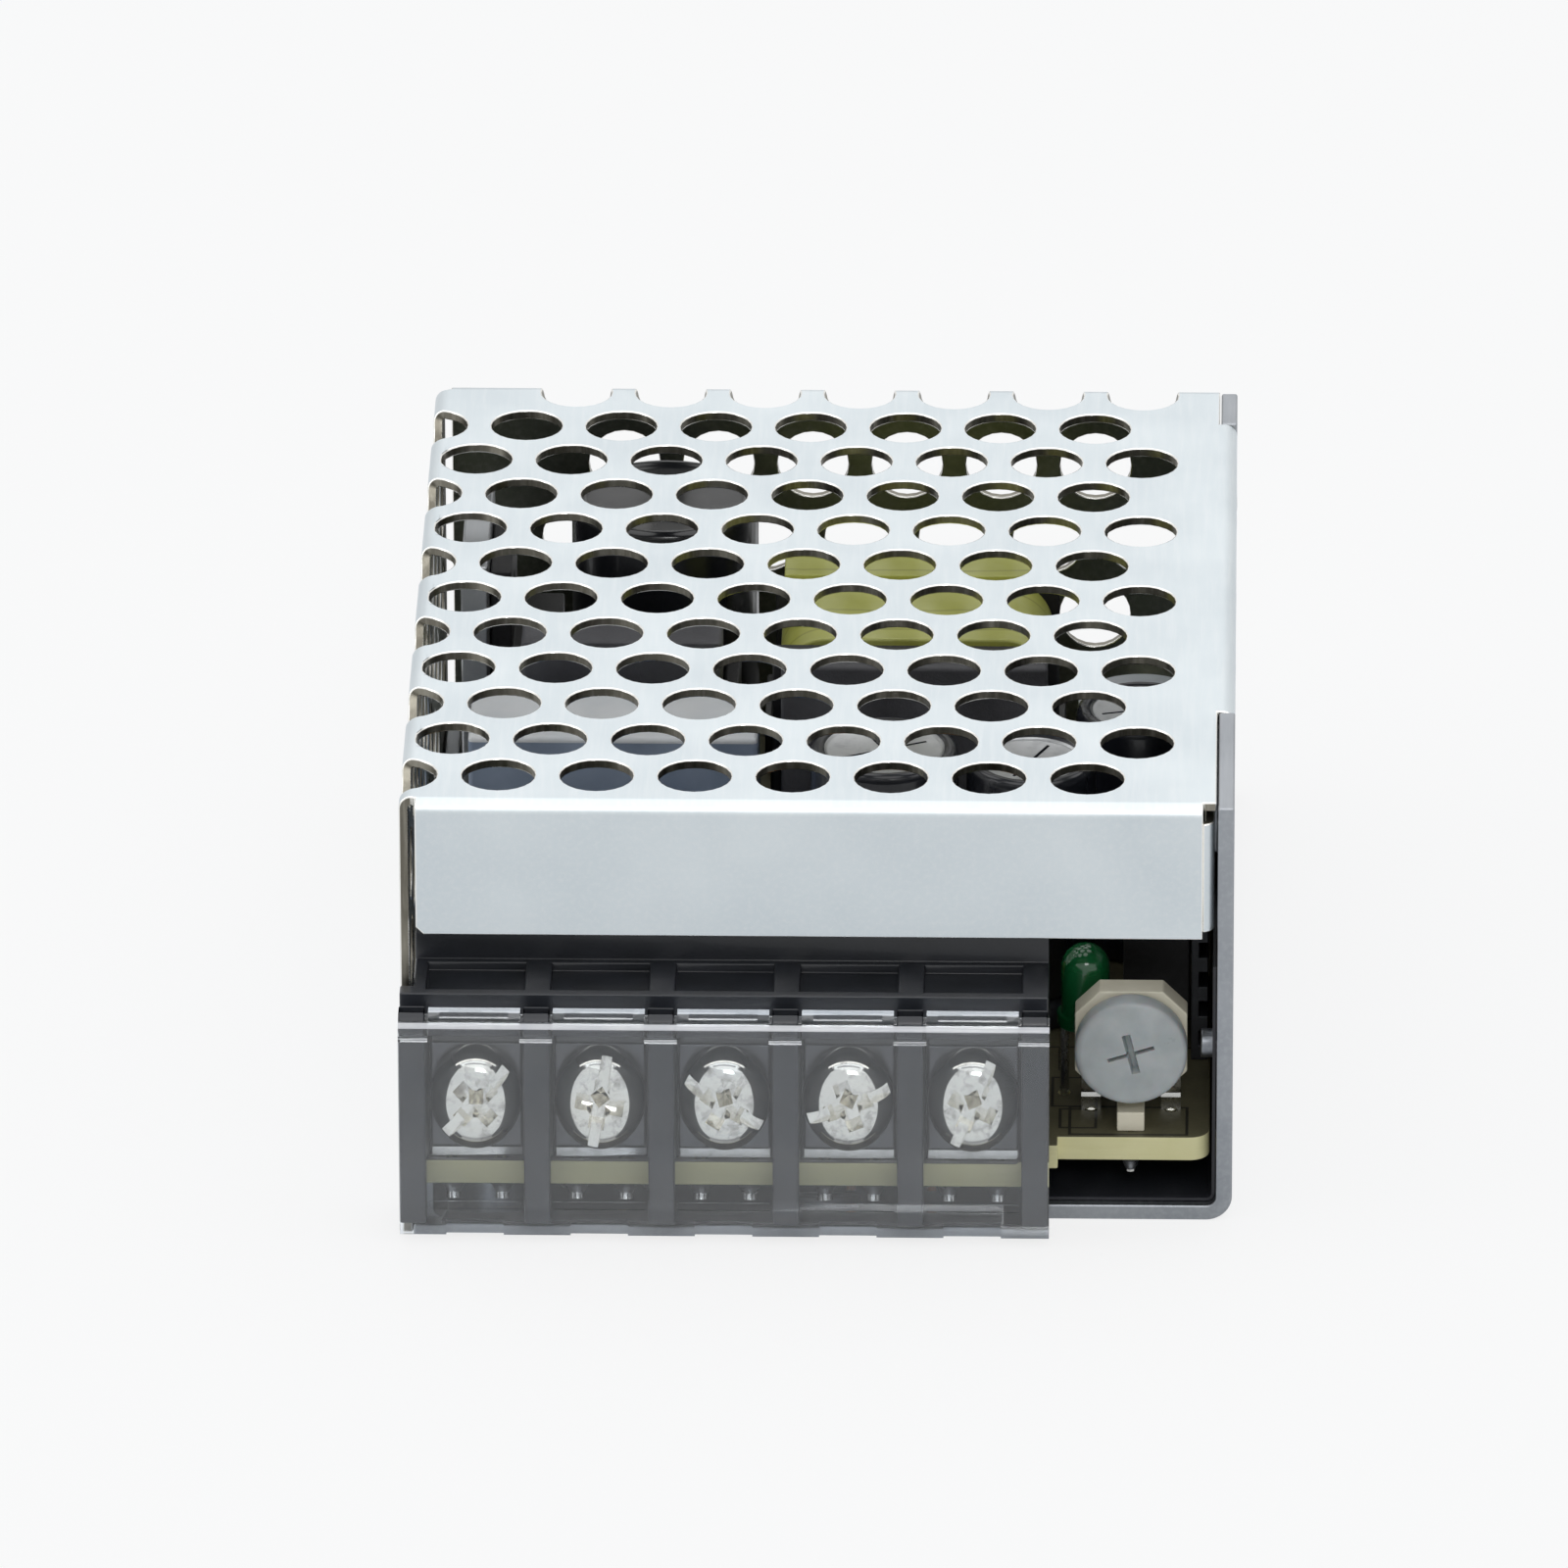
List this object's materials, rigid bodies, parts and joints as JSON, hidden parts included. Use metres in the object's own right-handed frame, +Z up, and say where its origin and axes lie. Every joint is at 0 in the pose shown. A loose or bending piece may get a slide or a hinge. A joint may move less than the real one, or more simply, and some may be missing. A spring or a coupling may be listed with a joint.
{
  "type": "enclosed switching power supply",
  "caption": "Small enclosed switching power supply: a folded perforated metal cover over an aluminium chassis, with a barrier terminal block behind a clear hinged shield.",
  "frame": {"origin": "middle of the footprint, on the floor the case stands on", "axes": "+X to the right seen from the terminals, +Y from the terminals to the back, +Z up"},
  "size_m": [0.051, 0.0664, 0.028],
  "materials": {
    "chassis_metal": "satin",
    "cover_metal": "satin",
    "plated_steel": "bright",
    "tinned_wire": "bright",
    "black_film": "satin",
    "board": "satin",
    "black_moulding": "gloss",
    "clear_moulding": "clear",
    "green_lens": "gloss",
    "cream_moulding": "satin",
    "grey_moulding": "satin",
    "black_epoxy": "matt",
    "green_epoxy": "matt",
    "orange_epoxy": "gloss",
    "blue_epoxy": "gloss",
    "brown_epoxy": "gloss",
    "white_box": "satin",
    "ferrite": "matt",
    "yellow_tape": "satin",
    "sleeve": "gloss",
    "sink_metal": "satin",
    "dark_sink": "satin",
    "resistor_coat": "satin"
  },
  "bodies": {
    "case": {"chassis": "chassis_metal", "mesh_cover": "cover_metal", "cover_screws": "plated_steel", "insulating_sheet": "black_film", "circuit_board": "board", "board_screws": "plated_steel", "terminal_block": "black_moulding", "terminal_plates": "plated_steel", "indicator_lamp": "green_lens", "lamp_leads": "tinned_wire", "trimmer_base": "cream_moulding", "trimmer_pins": "tinned_wire", "fuse": "black_epoxy", "inrush_thermistor": "green_epoxy", "surge_varistor": "orange_epoxy", "line_capacitor": "white_box", "line_choke_core": "ferrite", "line_choke_coils": "black_epoxy", "safety_capacitors": "blue_epoxy", "bridge_rectifier": "black_epoxy", "bulk_capacitor": "sleeve", "switching_transistor": "black_epoxy", "transistor_heatsink": "sink_metal", "transformer_core": "ferrite", "transformer_bobbin": "black_epoxy", "transformer_winding": "yellow_tape", "output_rectifier": "black_epoxy", "rectifier_heatsink": "dark_sink", "output_capacitors": "sleeve", "output_choke": "white_box", "snubber_capacitor": "brown_epoxy", "optocoupler": "white_box", "control_chip": "black_epoxy", "resistors": "resistor_coat"},
    "shield": {"terminal_shield": "clear_moulding"},
    "adjuster": {"trimmer_rotor": "grey_moulding"},
    "washer_1": {"terminal_washer_1": "plated_steel"},
    "screw_1": {"terminal_screw_1": "plated_steel"},
    "washer_2": {"terminal_washer_2": "plated_steel"},
    "screw_2": {"terminal_screw_2": "plated_steel"},
    "washer_3": {"terminal_washer_3": "plated_steel"},
    "screw_3": {"terminal_screw_3": "plated_steel"},
    "washer_4": {"terminal_washer_4": "plated_steel"},
    "screw_4": {"terminal_screw_4": "plated_steel"},
    "washer_5": {"terminal_washer_5": "plated_steel"},
    "screw_5": {"terminal_screw_5": "plated_steel"}
  },
  "joints": [
    {"name": "shield_hinge", "type": "hinge", "parent": "case", "child": "shield", "pos_m": [-0.0056, -0.0318, 0.0144], "axis": [-1, 0, 0], "range_deg": [0, 160]},
    {"name": "adjuster_turn", "type": "hinge", "parent": "case", "child": "adjuster", "pos_m": [0.01925, -0.0271, 0.01095], "axis": [0, -1, 0], "range_deg": [-130, 130]},
    {"name": "washer_slide_1", "type": "slide", "parent": "case", "child": "washer_1", "axis": [0, -1, 0], "range_m": [0, 0.0015]},
    {"name": "screw_turn_1", "type": "hinge", "parent": "washer_1", "child": "screw_1", "pos_m": [-0.02089, -0.0285, 0.0089], "axis": [0, -1, 0], "range_deg": [0, 1081]},
    {"name": "washer_slide_2", "type": "slide", "parent": "case", "child": "washer_2", "axis": [0, -1, 0], "range_m": [0, 0.0015]},
    {"name": "screw_turn_2", "type": "hinge", "parent": "washer_2", "child": "screw_2", "pos_m": [-0.01327, -0.0285, 0.0089], "axis": [0, -1, 0], "range_deg": [0, 1081]},
    {"name": "washer_slide_3", "type": "slide", "parent": "case", "child": "washer_3", "axis": [0, -1, 0], "range_m": [0, 0.0015]},
    {"name": "screw_turn_3", "type": "hinge", "parent": "washer_3", "child": "screw_3", "pos_m": [-0.00565, -0.0285, 0.0089], "axis": [0, -1, 0], "range_deg": [0, 1081]},
    {"name": "washer_slide_4", "type": "slide", "parent": "case", "child": "washer_4", "axis": [0, -1, 0], "range_m": [0, 0.0015]},
    {"name": "screw_turn_4", "type": "hinge", "parent": "washer_4", "child": "screw_4", "pos_m": [0.00197, -0.0285, 0.0089], "axis": [0, -1, 0], "range_deg": [0, 1081]},
    {"name": "washer_slide_5", "type": "slide", "parent": "case", "child": "washer_5", "axis": [0, -1, 0], "range_m": [0, 0.0015]},
    {"name": "screw_turn_5", "type": "hinge", "parent": "washer_5", "child": "screw_5", "pos_m": [0.00959, -0.0285, 0.0089], "axis": [0, -1, 0], "range_deg": [0, 1081]}
  ],
  "couplings": [
    {"joint": "screw_turn_1", "follows": "washer_slide_1", "rad_per_m": 12566},
    {"joint": "screw_turn_2", "follows": "washer_slide_2", "rad_per_m": 12566},
    {"joint": "screw_turn_3", "follows": "washer_slide_3", "rad_per_m": 12566},
    {"joint": "screw_turn_4", "follows": "washer_slide_4", "rad_per_m": 12566},
    {"joint": "screw_turn_5", "follows": "washer_slide_5", "rad_per_m": 12566}
  ]
}
